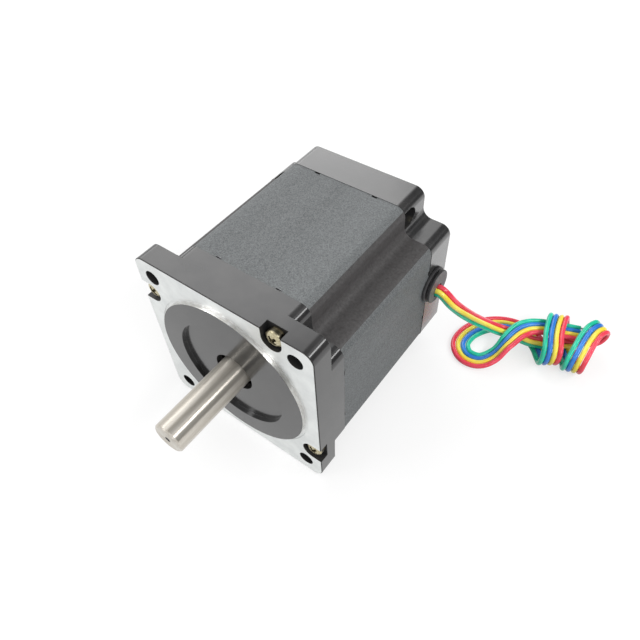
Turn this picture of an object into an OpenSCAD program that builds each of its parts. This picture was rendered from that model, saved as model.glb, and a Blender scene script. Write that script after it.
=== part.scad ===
// Hybrid stepper motor with an 86 mm frame, lying on one of its sides, with four loose leads.
// X points right and Z up as the front is seen, and Y runs from the mounting face to the rear.
// The origin is the centre of the flange's front face, on the axis of the shaft.

/* [Housing] */
// Side of the square flange and of both end bells
frame_w = 86; // [84:0.5:92]
// Thickness of the mounting flange
flange_t = 9.6; // [8:0.2:12]
// Corner radius of the flange
flange_r = 5; // [3:0.5:6]
// Length of the front bell with its flange
front_bell_l = 17; // [16.5:0.5:19]
// Length of the stator stack
stator_l = 63; // [55:1:90]
// Length of the rear bell
rear_bell_l = 15.5; // [15:0.5:19]
// How far each side of the stator lies below the sides of the bells
stator_inset = 0.2; // [0.1:0.1:0.5]
// Depth of the corner notches behind the flange, from each side
notch_d = 13.8; // [13:0.2:14.4]
// Radius of the rounded edges and inner corners of the notches
notch_r = 4.5; // [4:0.1:5]
// Distance of the pilot's edge from the flange's sides
pilot_inset = 6.5; // [6:0.25:8]
// Height of the pilot above the flange
pilot_h = 1.5; // [1:0.1:2]
// Diameter of the recess in the pilot
recess_d = 52.8; // [46:0.2:60]
// Depth of the recess below the pilot's face
recess_h = 2; // [1.6:0.1:2.4]
// Diameter of the opening round the shaft
shaft_bore_d = 18.5; // [18:0.5:20]
// Width of the relief ring round the foot of the pilot
relief_w = 1.3; // [0.8:0.1:1.6]
// Depth of the relief ring
relief_h = 0.4; // [0.2:0.1:0.8]

/* [Mounting] */
// Distance of the four mounting holes' axes from the flange's sides
hole_inset = 8.2; // [7.6:0.1:9]
// Diameter of the mounting holes
hole_d = 6.6; // [5.5:0.1:7]

/* [Tie screws] */
// Diameter of the tie screws
tie_d = 3.9; // [3:0.1:4]
// Thickness of the spring washers under the screw heads
tie_washer_t = 0.9; // [0.6:0.1:1.2]
// How far the screw heads lie below the flange's face
tie_sunk = 0.3; // [0.1:0.1:0.6]
// Width of the pockets for the screw heads
pocket_w = 9; // [8.4:0.2:9.4]
// Depth of the pockets
pocket_d = 4.3; // [4:0.1:5]
// Width of the windows beside the tie screws, in the notch walls of the rear bell
window_w = 8; // [7:0.2:8.6]
// Length of the straight part of the windows
window_l = 4; // [3:0.2:4.6]

/* [Shaft] */
// Diameter of the output shaft
shaft_d = 14; // [12:0.5:16]
// Length of the shaft in front of the mounting face
shaft_out = 37; // [25:1:45]
// Chamfer on the shaft's tip
shaft_chamfer = 0.7; // [0.3:0.1:1.2]
// Diameter of the centre mark in the tip
centre_d = 2.6; // [1.5:0.1:4]
// Diameter of the shaft inside the rotor
rotor_seat_d = 19; // [18:0.5:22]
// Diameter of the shoulders on both sides of the rotor
shoulder_d = 21; // [20.5:0.5:23]

/* [Stator and rotor] */
// Diameter of the stator's bore as a share of the frame's width
stator_bore_share = 0.628; // [0.59:0.002:0.636]
// Gap between the rotor's and the stator's teeth
air_gap = 0.15; // [0.1:0.05:0.3]
// Number of the rotor's teeth
rotor_teeth = 50; // [48:2:60]
// Depth of the teeth
tooth_h = 1; // [0.8:0.1:1.2]
// Number of the stator's poles
poles = 8; // [8]
// Teeth on each pole
pole_teeth = 6; // [4:1:6]
// Thickness of the yoke at the flat sides
yoke_t = 4.8; // [4.6:0.1:5.4]
// Thickness of the pole shoes
shoe_t = 3; // [2.4:0.2:3.2]
// Width of each pole
pole_w = 8.6; // [7:0.2:9]
// Thickness of the windings
coil_t = 3; // [2:0.2:3.2]
// Gap between a winding and what it goes round
coil_gap = 0.3; // [0.2:0.05:0.5]
// Thickness of the end insulators
insulator_t = 1.2; // [0.8:0.1:1.5]
// Thickness of each rotor magnet
magnet_t = 3; // [2:0.2:4]
// How far the rotor magnets lie below the rotor's teeth
magnet_inset = 2.8; // [2:0.1:6]
// Thickness of the spacer between the rotor's two halves
spacer_t = 1.2; // [0.8:0.1:2]
// Clearance from the rotor's ends to the ends of the stator
rotor_end_gap = 1.5; // [1.2:0.1:2]

/* [Front bearing] */
// Bore of the front bearing
front_bearing_bore = 17; // [17]
// Depth of the front bearing's section, from its bore to its outside
front_bearing_depth = 11.5; // [10.5:0.25:12.5]
// Width of the front bearing
front_bearing_w = 12; // [11:0.2:12]
// Diameter of the front bearing's balls as a share of that depth
front_ball_share = 0.587; // [0.55:0.005:0.6]
// Number of the front bearing's balls
front_balls = 8; // [6:1:8]

/* [Rear bearing] */
// Bore of the rear bearing
rear_bearing_bore = 12; // [12]
// Depth of the rear bearing's section, from its bore to its outside
rear_bearing_depth = 10; // [9.5:0.25:11]
// Width of the rear bearing
rear_bearing_w = 10; // [9.4:0.2:10]
// Diameter of the rear bearing's balls as a share of that depth
rear_ball_share = 0.595; // [0.55:0.005:0.6]
// Number of the rear bearing's balls
rear_balls = 7; // [6:1:7]

/* [Grommet] */
// Distance of the grommet's axis behind the stator
grommet_back = 4; // [4:0.1:4.5]
// Height of the grommet's axis above the shaft's axis
grommet_up = 2.5; // [0:0.1:3]
// Diameter of the neck in the bell's wall
grommet_neck_d = 8; // [7.6:0.1:8]
// Diameter of the flange against the bell's side
grommet_flange_d = 17; // [14:0.5:18]
// Thickness of that flange
grommet_flange_t = 1.2; // [1:0.1:1.6]
// Diameter of the waist between the flange and the outer disc
grommet_waist_d = 12.6; // [11.6:0.2:13]
// Length of the waist
grommet_waist_l = 1; // [0.8:0.1:1.2]
// Diameter of the outer disc
grommet_disc_d = 15.8; // [13:0.2:17]
// Thickness of the outer disc
grommet_disc_t = 1.1; // [1:0.1:2]
// Diameter of the hole for the leads
grommet_hole_d = 6.4; // [6:0.1:6.6]
// How far the grommet's outer rims sit above its hole
grommet_rim_up = 2.2; // [1:0.1:2.4]

/* [Leads] */
// Outer diameter of each lead
lead_d = 2.3; // [2:0.1:2.3]
// Spacing of the leads side by side
lead_pitch = 2.45; // [2.42:0.01:2.5]
// Diameter of the tinned wire at each end
wire_d = 1.1; // [0.8:0.1:1.4]
// Length of the tinned wire that is laid bare
wire_l = 6; // [4:0.5:8]

/* [Hidden] */

// How round shapes are drawn
fine = 96;
// How far a cut runs past the face that it opens
over = 1;
// Faces along the shaft's axis
stator_y = front_bell_l;
rear_y = stator_y + stator_l;
end_y = rear_y + rear_bell_l;
mid_y = stator_y + stator_l / 2;
frame_h = frame_w / 2;
stator_h = frame_h - stator_inset;
pilot_d = frame_w - 2 * pilot_inset;
hole_pitch = frame_w - 2 * hole_inset;
front_bearing_d = front_bearing_bore + 2 * front_bearing_depth;
rear_bearing_d = rear_bearing_bore + 2 * rear_bearing_depth;
// Half width of the arms between the corner notches
arm_h = frame_h - notch_d;
// Axes of the tie screws, the same on each side after a quarter turn
tie_x = arm_h - notch_r;
tie_z = frame_h - notch_r;
tie_clear = 0.3;
tie_thread_gap = 0.05;
tie_tip_gap = 0.6;
tie_reach = 12.5;
tie_end_y = rear_y + tie_reach;
// How far the windows lie below the screws' axes, and how far they reach in past them
window_drop = 2.2;
window_in = 3.2;
// Pan heads of the screws and the spring washers under them
tie_head_gap = 0.9;
tie_head_d = pocket_w - 2 * tie_head_gap;
tie_head_h = pocket_d - tie_sunk - tie_washer_t;
tie_washer_gap = 0.1;
tie_washer_share = 0.94;
washer_split = 0.6;
cross_l_share = 0.58;
cross_w_share = 0.17;
cross_h_share = 0.6;
dome_share = 1.7;
// Small notches in the sides of the stator where it meets the end bells
side_notch_x = 14.4;
side_notch_w = 2.6;
side_notch_h = 0.8;
side_notch_l = 0.8;

// Room for the windings inside the bells
yoke_r = stator_h - yoke_t;
cavity_lip = 0.5;
cavity_r = yoke_r - cavity_lip;
// Wall of the bearings' bosses as a share of the room up to the insulators
front_boss_share = 0.5;
rear_boss_share = 0.37;
front_cavity_y = 6;
rear_cavity_l = 9;
boss_gap = 0.4;

// Stator teeth, poles and windings
bore_r = stator_bore_share * frame_w / 2;
tooth_pitch = 360 / rotor_teeth;
pole_turn = 180 / poles;
shoe_half = tooth_pitch * pole_teeth / 2 - tooth_pitch / 4;
groove_w = bore_r * 2 * sin(tooth_pitch / 4);
coil_in = bore_r + shoe_t + 2 * coil_gap;
coil_x = pole_w / 2 + coil_gap;
coil_side = coil_x + coil_t;
coil_clear = 0.3;
coil_out = sqrt(pow(cavity_r - coil_clear, 2) - pow(coil_side, 2));
coil_half_l = stator_l / 2 + insulator_t + coil_gap / 3;
coil_turn_r = 2.4;
insulator_in = bore_r + 1.2 * tooth_h;
insulator_lip_t = 1;
insulator_lip_h = 5.4;
shoe_r = bore_r + shoe_t;
insulator_out = coil_in - 0.2 * insulator_t;
insulator_arm = cavity_r - 0.7 * coil_clear;
front_boss_r = front_bearing_d / 2 + front_boss_share * (insulator_in - front_bearing_d / 2);
rear_boss_r = rear_bearing_d / 2 + rear_boss_share * (insulator_in - rear_bearing_d / 2);

// Rotor
rotor_r = bore_r - air_gap;
magnet_d = 2 * (rotor_r - magnet_inset);
rotor_y = stator_y + rotor_end_gap;
rotor_l = stator_l - 2 * rotor_end_gap;
core_t = (rotor_l - 2 * magnet_t - spacer_t) / 4;
core_1_y = rotor_y;
magnet_1_y = core_1_y + core_t;
core_2_y = magnet_1_y + magnet_t;
spacer_y = core_2_y + core_t;
core_3_y = spacer_y + spacer_t;
magnet_2_y = core_3_y + core_t;
core_4_y = magnet_2_y + magnet_t;
rotor_end_y = core_4_y + core_t;

// Bearings
front_ball_d = front_ball_share * front_bearing_depth;
rear_ball_d = rear_ball_share * rear_bearing_depth;
ball_gap = 0.055;
cage_gap = 0.09;
shield_t = 0.5;
shield_in = 0.2;
shield_gap = 0.3;
cage_wall_share = 0.32;
cage_web = 1;
land_share = 0.35;
front_seat_floor = front_bell_l - front_bearing_w - boss_gap;
front_bearing_y = front_seat_floor;
rear_bearing_y = rear_y + 1.2;
rear_bearing_end = rear_bearing_y + rear_bearing_w;
seat_lip = 3;
relief_l = 1.1;
washer_room = 1;
washer_t = 0.4;
washer_wave = 0.25;
washer_waves = 3;
washer_steps = 60;
washer_gap = 0.3;
rear_floor_y = rear_bearing_end + washer_room;
shaft_end_gap = 0.6;
shaft_end_room = 1.1;
rear_shoulder_d = 17.2;
rear_dish_d = 44;
rear_dish_h = 0.8;

// Grommet and what the leads go through
grommet_y = rear_y + grommet_back;
grommet_gap = 0.05;
inner_flange_d = 10.4;
inner_flange_t = 1.8;
inner_flange_back = 6.4;
inner_flange_x = frame_h - inner_flange_back;
inner_flange_gap = 0.2;
grommet_face_x = frame_h + grommet_flange_t + grommet_waist_l + grommet_disc_t;
grommet_round = 0.4;
board_t = 1.2;
board_x = inner_flange_x - board_t - 0.4;
board_low = 3.6;
board_high = 5.8;
board_l = 7.4;
pad_d = 1.8;
pad_t = 0.35;
tab_h = 4;

// Route of the lead bundle: how far right and how far back from the grommet's face its middle is,
// its height over the floor, the compass angle of its flat side, its twist, and how far it is
// opened from a square bundle, 0, to a flat ribbon, 90
lead_route = [
  [0, 0, 45.5, 90, 105, 0], [1.7, 0, 45.5, 90, 105, 0], [4.3, 0.4, 43.5, 94, 105, 0],
  [6.8, 1.6, 39.9, 104, 105, 0], [8.9, 4, 35.7, 117, 105, 0], [10.7, 7.3, 30.9, 128, 105, 0],
  [12.5, 11.3, 25.6, 136, 105, 0], [14.5, 15.9, 19.8, 140, 105, 0], [17.5, 21, 13.8, 138, 102, 0],
  [22.2, 26.2, 8.1, 127, 98, 0], [27.4, 29, 5.8, 111, 92, 0], [33.2, 30, 5.6, 98, 90, 0],
  [39.2, 30.6, 5.6, 101, 92, 0], [45, 32.8, 5.7, 114, 100, 0], [50.2, 36, 5.8, 122, 118, 0],
  [54.6, 39.6, 5.7, 127, 142, 0], [58.4, 43.2, 5.8, 131, 165, 20], [61.8, 46.8, 5.6, 136, 178, 60],
  [64.4, 50, 7.1, 141, 180, 85], [65.5, 51.6, 11, 146, 180, 90], [64.6, 50, 14.3, 152, 180, 90],
  [62.9, 45.4, 15.3, 160, 180, 90], [62.1, 39.8, 14.7, 167, 180, 90], [62, 34.6, 13.8, 173, 180, 90],
  [62.1, 30.4, 13.3, 177, 180, 90], [62.1, 27.2, 11.5, 182, 180, 90], [62.1, 25.6, 7.2, 190, 180, 90],
  [61.6, 27.2, 3, 199, 180, 90], [60.2, 31, 1.4, 208, 180, 90], [57.4, 35.4, 1.4, 214, 180, 90],
  [54.2, 39.8, 1.4, 218, 180, 90], [50.8, 43.8, 1.4, 218, 180, 90], [48, 47, 3, 214, 180, 90],
  [46.1, 48.8, 7.2, 207, 180, 90], [45.3, 47.6, 11.7, 201, 180, 90], [45.6, 43.4, 13.5, 196, 180, 90],
  [46.7, 38, 13.4, 194, 180, 90], [48.2, 32.9, 13.2, 195, 180, 90], [49.9, 28.2, 13.2, 198, 180, 90],
  [51.2, 24.8, 11.4, 202, 180, 90], [51.6, 23.2, 7.2, 208, 180, 90], [50.6, 24.7, 3, 215, 180, 90],
  [48, 28.4, 1.4, 222, 180, 90], [43.8, 33, 1.4, 231, 180, 90], [38, 36.8, 1.4, 246, 180, 90],
  [31.2, 38.4, 1.4, 265, 180, 90], [24.2, 37, 1.4, 287, 180, 90], [18, 33, 1.4, 308, 180, 90],
  [13.4, 27, 1.4, 326, 180, 90], [10.8, 20, 1.4, 345, 180, 90], [11.2, 12.8, 1.4, 372, 180, 90],
  [16.4, 7.8, 1.4, 412, 180, 90], [23.6, 8.8, 1.6, 450, 180, 90], [28.4, 14.6, 3.8, 471, 180, 90],
  [30.8, 21.6, 8.4, 482, 180, 90], [32.8, 28.4, 10.5, 487, 180, 90], [35.8, 34.2, 10.3, 484, 180, 90],
  [40.6, 38.2, 9.9, 472, 180, 90], [46.6, 40.6, 9.9, 463, 180, 90], [52.2, 42.2, 10.3, 463, 180, 90],
  [57.6, 44, 10.4, 468, 180, 90]
];
// Place on the route, counted in its points, where the leads come down and the hank begins
hank_start = 10;
// Height of the grommet over the floor, and how the fall of the leads stretches to it
exit_h = frame_h + grommet_up;
heap_h = lead_route[hank_start][2];
fall_stretch = (exit_h - heap_h) / (lead_route[0][2] - heap_h);
route = [for (k = [0 : len(lead_route) - 1]) let (
  p = lead_route[k],
  h = k < hank_start ? heap_h + fall_stretch * (p[2] - heap_h) : p[2]
) [grommet_face_x + p[0], grommet_y + p[1], h - frame_h, p[3], p[4], p[5]]];
free_step = 0.5;
hank_step = 1 / 3;
free_sides = 8;
hank_sides = 6;
// Each lead's side of the bundle and whether it is an outer strand of the flat ribbon
red_strand = [1, 1];
yellow_strand = [1, 0];
blue_strand = [-1, 0];
green_strand = [-1, 1];
strands = [red_strand, yellow_strand, blue_strand, green_strand];
lead_r = lead_d / 2;
// Stretch of a lead that counts as its own neighbourhood when its least gap is measured
near_l = 8;

// Helpers for shapes about and along the Y axis

// Extrudes a drawing made in X and Z from y0 to y1.
module slab(y0, y1) {
  translate([0, y1, 0]) rotate([90, 0, 0]) linear_extrude(y1 - y0) children();
}

// Turns a drawing round the Y axis; its x is the radius and its y is the world's Y.
module lathe() {
  rotate([-90, 0, 0]) rotate_extrude($fn = fine) children();
}

module tube_y(y0, y1, r_out, r_in) {
  lathe() translate([r_in, y0]) square([r_out - r_in, y1 - y0]);
}

module rod_y(y0, y1, r) {
  translate([0, y0, 0]) rotate([-90, 0, 0]) cylinder(h = y1 - y0, r = r, $fn = fine);
}

module rod_x(x0, x1, r) {
  translate([x0, 0, 0]) rotate([0, 90, 0]) cylinder(h = x1 - x0, r = r, $fn = fine);
}

// Repeats a drawing at the four tie screws.
module at_ties() {
  for (turn = [0 : 90 : 270]) rotate([0, turn, 0]) translate([tie_x, 0, tie_z]) children();
}

module at_holes() {
  for (sx = [-1, 1], sz = [-1, 1]) translate([sx * hole_pitch / 2, 0, sz * hole_pitch / 2]) children();
}

module round_rect(w, h, r) {
  square([w, h - 2 * r], center = true);
  square([w - 2 * r, h], center = true);
  for (sx = [-1, 1], sy = [-1, 1]) translate([sx * (w / 2 - r), sy * (h / 2 - r)]) circle(r = r, $fn = fine);
}

// Square with its four corners notched, rounded outside and filleted inside.
module notched_square(half) {
  round_rect(2 * arm_h, 2 * half, notch_r);
  round_rect(2 * half, 2 * arm_h, notch_r);
  for (sx = [-1, 1], sy = [-1, 1]) at_corner(sx, sy) difference() {
    translate([arm_h - notch_r, arm_h - notch_r]) square(2 * notch_r);
    translate([arm_h + notch_r, arm_h + notch_r]) circle(r = notch_r, $fn = fine);
  }
}

module at_corner(sx, sy) {
  mirror([sx < 0 ? 1 : 0, 0]) mirror([0, sy < 0 ? 1 : 0]) children();
}

// Front bell with the flange, the pilot and the front bearing's seat
module front_bell() color("gainsboro") difference() {
  union() {
    slab(0, flange_t) round_rect(frame_w, frame_w, flange_r);
    slab(flange_t / 2, stator_y) notched_square(frame_h);
    rod_y(-pilot_h, flange_t / 2, pilot_d / 2);
  }
  tube_y(-over, relief_h, pilot_d / 2 + relief_w, pilot_d / 2);
  rod_y(-pilot_h - over, recess_h - pilot_h, recess_d / 2);
  rod_y(-over, stator_y, shaft_bore_d / 2);
  rod_y(front_seat_floor - relief_l, stator_y, front_bearing_d / 2 - seat_lip);
  rod_y(front_seat_floor, stator_y + over, front_bearing_d / 2);
  tube_y(front_cavity_y, stator_y + over, cavity_r, front_boss_r);
  rod_y(stator_y - boss_gap, stator_y + over, front_boss_r + over);
  at_holes() rod_y(-over, flange_t + over, hole_d / 2);
  at_ties() slab(-over, pocket_d) screw_pocket();
  at_ties() rod_y(0, stator_y + over, tie_d / 2 + tie_clear);
}

// Outline of the pocket for a screw head, open to the edge of the flange
module screw_pocket() {
  circle(d = pocket_w, $fn = fine);
  translate([-pocket_w / 2, 0]) square([pocket_w, frame_h - tie_z + over]);
}

module rear_bell() color("darkgray") difference() {
  slab(rear_y, end_y) notched_square(frame_h);
  tube_y(rear_y - over, rear_y + rear_cavity_l, cavity_r, rear_boss_r);
  rod_y(rear_y - over, rear_y + boss_gap, rear_boss_r + over);
  rod_y(rear_y - over, rear_floor_y, rear_bearing_d / 2);
  rod_y(rear_y, rear_floor_y + shaft_end_room, rear_bearing_d / 2 - seat_lip);
  rod_y(end_y - rear_dish_h, end_y + over, rear_dish_d / 2);
  at_ties() tie_window();
  at_ties() rod_y(rear_y, tie_end_y + tie_tip_gap, tie_d / 2 + tie_thread_gap);
  grommet_cut();
}

// U-shaped window in the notch's wall, open towards the stator
module tie_window() {
  window_r = window_w / 2;
  translate([-window_in, rear_y - over, -window_drop - window_r])
    cube([window_in + notch_r + over, over + window_l, window_w]);
  translate([0, rear_y + window_l, -window_drop]) rod_x(-window_in, notch_r + over, window_r);
}

// Notch in the rear bell's side for the grommet, with room for its inner flange
module grommet_cut() {
  notch_r = grommet_neck_d / 2;
  notch_x = cavity_r - over;
  translate([notch_x, rear_y - over, grommet_up - notch_r])
    cube([frame_h + over - notch_x, grommet_back + over, 2 * notch_r]);
  at_grommet() rod_x(notch_x, frame_h + over, notch_r);
  at_grommet() rod_x(
    inner_flange_x - over, inner_flange_x + inner_flange_t + inner_flange_gap,
    inner_flange_d / 2 + inner_flange_gap);
}

module at_grommet() {
  translate([0, grommet_y, grommet_up]) children();
}

module stator_core() color("dimgray") difference() {
  slab(stator_y, rear_y) difference() {
    union() {
      difference() {
        notched_square(stator_h);
        circle(r = yoke_r, $fn = fine);
      }
      for (k = [0 : poles - 1]) rotate(pole_turn * (2 * k + 1)) pole();
    }
    for (turn = [0 : 90 : 270]) rotate(-turn)
      translate([tie_x, tie_z]) circle(r = tie_d / 2 + tie_clear, $fn = fine);
  }
  for (turn = [0 : 90 : 270], s = [-1, 1]) rotate([0, turn, 0]) translate([s * side_notch_x, 0, stator_h]) {
    side_notch(stator_y);
    side_notch(rear_y);
  }
}

module side_notch(joint_y) {
  translate([-side_notch_w / 2, joint_y - side_notch_l, -side_notch_h])
    cube([side_notch_w, 2 * side_notch_l, side_notch_h + over]);
}

// Section of one stator pole with its toothed shoe, pointing along X
module pole() difference() {
  union() {
    translate([bore_r + shoe_t / 2, -pole_w / 2]) square([yoke_r - bore_r - shoe_t / 2 + cavity_lip, pole_w]);
    intersection() {
      difference() {
        circle(r = shoe_r, $fn = fine);
        circle(r = bore_r, $fn = fine);
      }
      polygon(2 * bore_r * [[0, 0], [cos(shoe_half), -sin(shoe_half)], [cos(shoe_half), sin(shoe_half)]]);
    }
  }
  for (k = [1 : pole_teeth - 1]) rotate((k - pole_teeth / 2) * tooth_pitch)
    translate([bore_r - over, -groove_w / 2]) square([over + tooth_h, groove_w]);
}

// Moulded insulator on one end of the stator, with a lip inside the end turns
module insulator(plate_y, lip_y) {
  slab(plate_y, plate_y + insulator_t) difference() {
    union() {
      circle(r = insulator_out, $fn = fine);
      intersection() {
        circle(r = insulator_arm, $fn = fine);
        for (k = [0 : poles - 1]) rotate(pole_turn * (2 * k + 1))
          translate([insulator_in, -pole_w / 2]) square([insulator_arm, pole_w]);
      }
    }
    circle(r = insulator_in, $fn = fine);
  }
  tube_y(lip_y, lip_y + insulator_lip_h, insulator_in + insulator_lip_t, insulator_in);
}

module front_insulator() color("ivory") insulator(stator_y - insulator_t, stator_y - insulator_lip_h);

module rear_insulator() color("ivory") {
  insulator(rear_y, rear_y);
  translate([insulator_in + insulator_lip_t / 2, rear_y, -tab_h])
    cube([board_x + board_t - insulator_in - insulator_lip_t / 2, insulator_t, 2 * tab_h]);
}

// One winding as a racetrack round its pole, which points along X
module coil() {
  translate([coil_in, mid_y, 0]) rotate([0, 90, 0]) linear_extrude(coil_out - coil_in) difference() {
    round_rect(2 * coil_side, 2 * (coil_half_l + coil_t), coil_turn_r);
    round_rect(2 * coil_x, 2 * coil_half_l, coil_gap);
  }
}

module coils(first) color("peru") {
  for (k = [first : 2 : poles - 1]) rotate([0, pole_turn * (2 * k + 1), 0]) coil();
}

module terminal_board() color("darkgreen") {
  translate([board_x, rear_y + insulator_t, -board_low]) cube([board_t, board_l, board_low + board_high]);
  for (s = strands) translate([0, strand_at(0, s).y, strand_at(0, s).z])
    rod_x(board_x - pad_t, board_x, pad_d / 2);
}

module lead_tails() color("indianred") {
  for (s = strands) translate([0, strand_at(0, s).y, strand_at(0, s).z])
    rod_x(board_x + board_t, grommet_face_x, lead_r);
}

module grommet() color([0.12, 0.12, 0.13]) difference() {
  at_grommet() {
    rod_x(inner_flange_x, inner_flange_x + inner_flange_t, inner_flange_d / 2);
    rod_x(inner_flange_x, frame_h + grommet_flange_t / 2, grommet_neck_d / 2 - grommet_gap);
    translate([0, 0, grommet_rim_up]) {
      rod_x(frame_h, frame_h + grommet_flange_t, grommet_flange_d / 2);
      rod_x(frame_h, grommet_face_x - grommet_disc_t / 2, grommet_waist_d / 2);
      rod_x(grommet_face_x - grommet_disc_t, grommet_face_x, grommet_disc_d / 2);
    }
  }
  at_grommet() rod_x(inner_flange_x - over, grommet_face_x + over, grommet_hole_d / 2);
  translate([inner_flange_x - over, rear_y - inner_flange_d, grommet_up - inner_flange_d])
    cube([inner_flange_t + over + inner_flange_gap, inner_flange_d + inner_flange_gap, 2 * inner_flange_d]);
}

// Pan-head screw with a cross recess, from the front bell's pocket into the rear bell
module tie_screw() {
  head_y = tie_sunk;
  seat_y = head_y + tie_head_h;
  slot_l = cross_l_share * tie_head_d;
  slot_w = cross_w_share * tie_head_d;
  difference() {
    union() {
      rod_y(head_y + tie_head_h / 2, tie_end_y, tie_d / 2);
      intersection() {
        rod_y(head_y, seat_y, tie_head_d / 2);
        translate([0, head_y + dome_share * tie_head_d / 2, 0])
          sphere(r = dome_share * tie_head_d / 2, $fn = fine);
      }
    }
    for (turn = [45, 135]) rotate([0, turn, 0])
      translate([-slot_l / 2, head_y - over, -slot_w / 2])
        cube([slot_l, over + cross_h_share * tie_head_h, slot_w]);
  }
}

module tie_screws() color("khaki") at_ties() tie_screw();

// Split spring washer between the screw's head and the floor of its pocket
module tie_washer() difference() {
  tube_y(pocket_d - tie_washer_t, pocket_d, tie_washer_share * tie_head_d / 2, tie_d / 2 + tie_washer_gap);
  translate([-washer_split / 2, 0, -tie_head_d]) cube([washer_split, pocket_d + over, tie_head_d]);
}

module tie_washers() color("khaki") at_ties() tie_washer();

module shaft() color("silver") lathe() polygon([
  [0, centre_d / 2 - shaft_out],
  [centre_d / 2, -shaft_out],
  [shaft_d / 2 - shaft_chamfer, -shaft_out],
  [shaft_d / 2, shaft_chamfer - shaft_out],
  [shaft_d / 2, front_seat_floor - relief_l],
  [front_bearing_bore / 2, front_seat_floor - relief_l + (front_bearing_bore - shaft_d) / 4],
  [front_bearing_bore / 2, front_bearing_y + front_bearing_w],
  [shoulder_d / 2, front_bearing_y + front_bearing_w],
  [shoulder_d / 2, rotor_y],
  [rotor_seat_d / 2, rotor_y],
  [rotor_seat_d / 2, rotor_end_y],
  [rear_shoulder_d / 2, rotor_end_y],
  [rear_shoulder_d / 2, rear_bearing_y],
  [rear_bearing_bore / 2, rear_bearing_y],
  [rear_bearing_bore / 2, rear_bearing_end + shaft_end_gap],
  [0, rear_bearing_end + shaft_end_gap]
]);

// Toothed rotor core; the cores of each pair are half a tooth apart
module rotor_core(y, turned) color("gray") slab(y, y + core_t) difference() {
  circle(r = rotor_r, $fn = fine);
  circle(d = rotor_seat_d, $fn = fine);
  for (k = [0 : rotor_teeth - 1]) rotate((k + turned / 2) * tooth_pitch)
    translate([rotor_r - tooth_h, -groove_w / 2]) square([tooth_h + over, groove_w]);
}

module rotor_disc(y, t, d) tube_y(y, y + t, d / 2, rotor_seat_d / 2);

// Parts of a ball bearing from y to y + w
function pitch_r(bore, d) = (bore + d) / 4;
function land_out(bore, d, ball_d) = pitch_r(bore, d) + land_share * ball_d;
function land_in(bore, d, ball_d) = pitch_r(bore, d) - land_share * ball_d;

module race(y, w, bore, d, ball_d) {
  translate([pitch_r(bore, d), y + w / 2]) circle(r = ball_d / 2 + ball_gap, $fn = fine);
}

module outer_ring(y, w, bore, d, ball_d) color("lightgray") lathe() difference() {
  land = land_out(bore, d, ball_d);
  translate([land, y]) square([d / 2 - land, w]);
  race(y, w, bore, d, ball_d);
}

module inner_ring(y, w, bore, d, ball_d) color("lightgray") lathe() difference() {
  translate([bore / 2, y]) square([land_in(bore, d, ball_d) - bore / 2, w]);
  race(y, w, bore, d, ball_d);
}

module at_balls(y, w, bore, d, count) {
  for (k = [0 : count - 1]) rotate([0, 360 * k / count, 0])
    translate([pitch_r(bore, d), y + w / 2, 0]) children();
}

module balls(y, w, bore, d, ball_d, count) color("whitesmoke") {
  at_balls(y, w, bore, d, count) sphere(d = ball_d, $fn = fine);
}

module cage(y, w, bore, d, ball_d, count) color("goldenrod") difference() {
  mid = y + w / 2;
  wall = cage_wall_share * ball_d;
  tube_y(
    mid - land_share * ball_d, mid + ball_d / 2 + cage_gap + cage_web,
    pitch_r(bore, d) + wall / 2, pitch_r(bore, d) - wall / 2);
  at_balls(y, w, bore, d, count) rotate([0, 90, 0])
    cylinder(h = wall + 2 * over, r = ball_d / 2 + cage_gap, center = true, $fn = fine);
}

module shields(y, w, bore, d, ball_d) color("darkgray") {
  for (y0 = [y + shield_in, y + w - shield_in - shield_t])
    tube_y(y0, y0 + shield_t, land_out(bore, d, ball_d), land_in(bore, d, ball_d) + shield_gap);
}

// Wave spring washer between the rear bearing and its seat's floor
module wave_washer() {
  r_out = rear_bearing_d / 2 - washer_gap;
  r_in = rear_bearing_d / 2 - seat_lip;
  mid = rear_bearing_end + washer_room / 2;
  last = washer_steps - 1;
  corners = [for (k = [0 : last]) let (
    a = 360 * k / washer_steps,
    y = mid + washer_wave * sin(washer_waves * a)
  ) each [for (c = [[r_in, -1], [r_out, -1], [r_out, 1], [r_in, 1]])
      [c[0] * cos(a), y + c[1] * washer_t / 2, c[0] * sin(a)]]];
  faces = [for (k = [0 : last], c = [0 : 3]) let (
    a = 4 * k + c,
    b = 4 * k + (c + 1) % 4,
    e = (a + 4) % (4 * washer_steps),
    f = (b + 4) % (4 * washer_steps)
  ) each [[a, b, e], [b, f, e]]];
  color("lightsteelblue") polyhedron(corners, faces);
}

// Curve through the points of a route

function unit(v) = v / norm(v);
function pick(list, i) = let (last = len(list) - 1)
  i < 0 ? 2 * list[0] - list[1] : i > last ? 2 * list[last] - list[last - 1] : list[i];
function around(list, t) = let (i = min(floor(t), len(list) - 2))
  [pick(list, i - 1), pick(list, i), pick(list, i + 1), pick(list, i + 2), t - i];
function curve_at(list, t) = let (p = around(list, t), u = p[4])
  p[1] + u / 2 * (p[2] - p[0]) + u * u / 2 * (2 * p[0] - 5 * p[1] + 4 * p[2] - p[3])
  + u * u * u / 2 * (3 * p[1] - p[0] - 3 * p[2] + p[3]);
function slope_at(list, t) = let (p = around(list, t), u = p[4])
  1 / 2 * (p[2] - p[0]) + u * (2 * p[0] - 5 * p[1] + 4 * p[2] - p[3])
  + 3 / 2 * u * u * (3 * p[1] - p[0] - 3 * p[2] + p[3]);

// Direction of the bundle, and the direction of its flat side
function bundle_dir(t) = let (d = slope_at(route, t)) unit([d[0], d[1], d[2]]);
function bundle_side(t) = let (a = curve_at(route, t)[3], d = bundle_dir(t), flat = [cos(a), sin(a), 0])
  unit(flat - (flat * d) * d);

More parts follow.
